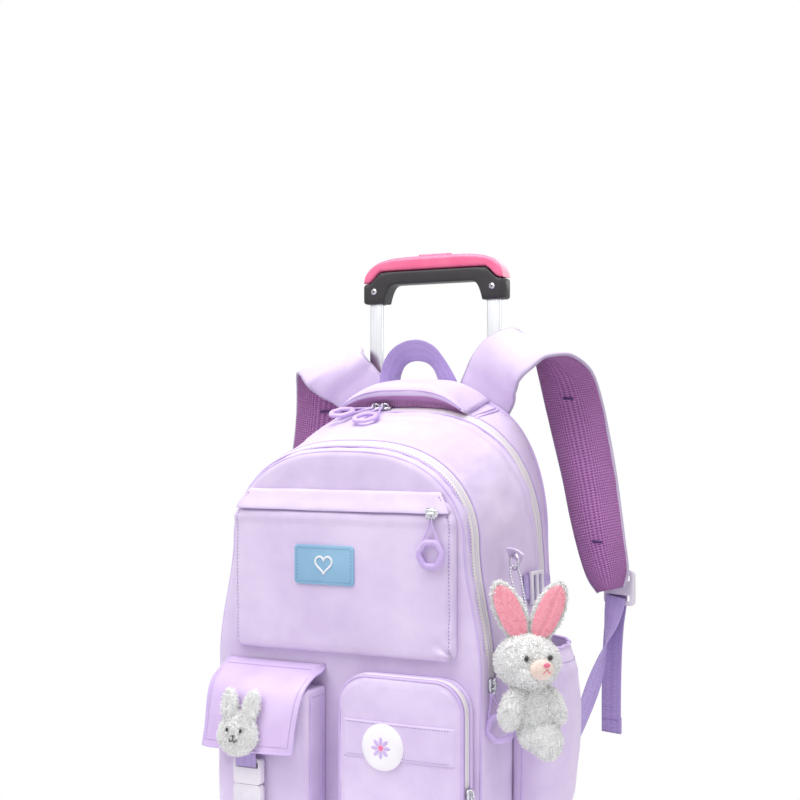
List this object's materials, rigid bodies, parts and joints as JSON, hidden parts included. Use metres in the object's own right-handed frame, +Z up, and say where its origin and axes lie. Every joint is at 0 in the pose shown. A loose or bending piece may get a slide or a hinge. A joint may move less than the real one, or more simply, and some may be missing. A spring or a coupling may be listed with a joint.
{
  "type": "wheeled backpack",
  "caption": "Child's soft school backpack with front and side pockets, shoulder straps and a plush charm, on a wheeled trolley frame with a telescopic handle.",
  "frame": {"origin": "on the floor plane, under the bag's middle, on the underside of the base's foot", "axes": "+X to the viewer's right from the front, -Y to the front, +Z up"},
  "size_m": [0.447, 0.3179, 0.6656],
  "materials": {
    "lilac_fabric": "satin",
    "flap_fabric": "satin",
    "spacer_mesh": "matte",
    "webbing": "ribbed",
    "zipper_tape": "woven",
    "plush": "fleecy",
    "label_fabric": "woven",
    "soft_rubber": "satin",
    "white_plastic": "gloss",
    "pink_plastic": "gloss",
    "black_plastic": "satin",
    "aluminium": "anodised",
    "chrome": "polished",
    "steel": "turned",
    "tyre": "matte"
  },
  "bodies": {
    "bag": {"main_compartment": "lilac_fabric", "front_compartment": "lilac_fabric", "back_panel": "spacer_mesh", "top_pad": "lilac_fabric", "upper_pocket": "lilac_fabric", "flap_pocket": "lilac_fabric", "flap": "flap_fabric", "zip_pocket": "lilac_fabric", "side_pocket_left": "lilac_fabric", "side_pocket_right": "lilac_fabric", "main_zipper": "zipper_tape", "front_zipper": "zipper_tape", "slit_zipper": "zipper_tape", "pocket_zipper": "zipper_tape", "grab_handle": "webbing", "shoulder_strap_right": "spacer_mesh", "shoulder_strap_left": "spacer_mesh", "side_strap": "webbing", "side_buckle": "white_plastic", "side_tab": "lilac_fabric", "side_ring": "chrome", "charm_chain": "chrome", "charm_rabbit": "plush", "flap_rabbit": "plush", "flap_webbing": "webbing", "buckle_plug": "white_plastic", "buckle_socket": "white_plastic", "pocket_webbing": "webbing", "label": "label_fabric", "badge": "white_plastic", "strap_lock_right": "white_plastic", "strap_tail_right": "webbing", "strap_webbing_right": "webbing", "strap_lock_left": "white_plastic", "strap_tail_left": "webbing", "strap_webbing_left": "webbing", "main_slider_left": "chrome", "main_pull_left": "soft_rubber", "main_slider_right": "chrome", "main_pull_right": "soft_rubber", "front_slider": "chrome", "front_pull": "soft_rubber", "slit_slider": "chrome", "slit_pull": "soft_rubber", "pocket_slider": "chrome", "outer_tube_left": "aluminium", "outer_tube_right": "aluminium", "frame_bracket": "black_plastic", "base": "black_plastic", "axle": "steel"},
    "handle": {"handle_tube_left": "aluminium", "handle_tube_right": "aluminium", "grip_core": "black_plastic", "grip_cover": "pink_plastic"},
    "button": {"grip_button": "pink_plastic"},
    "wheel_left": {"wheel_left": "black_plastic", "tyre_left": "tyre"},
    "wheel_right": {"wheel_right": "black_plastic", "tyre_right": "tyre"}
  },
  "joints": [
    {"name": "handle_slide", "type": "slide", "parent": "bag", "child": "handle", "axis": [0, 0, 1], "range_m": [-0.15, 0.19]},
    {"name": "button_press", "type": "slide", "parent": "handle", "child": "button", "axis": [0, 0, -1], "range_m": [0, 0.003], "stiffness_N_per_m": 400},
    {"name": "wheel_left_spin", "type": "hinge", "parent": "bag", "child": "wheel_left", "pos_m": [-0.119, 0.139, 0.032], "axis": [1, 0, 0], "continuous": true},
    {"name": "wheel_right_spin", "type": "hinge", "parent": "bag", "child": "wheel_right", "pos_m": [0.119, 0.139, 0.032], "axis": [1, 0, 0], "continuous": true}
  ]
}
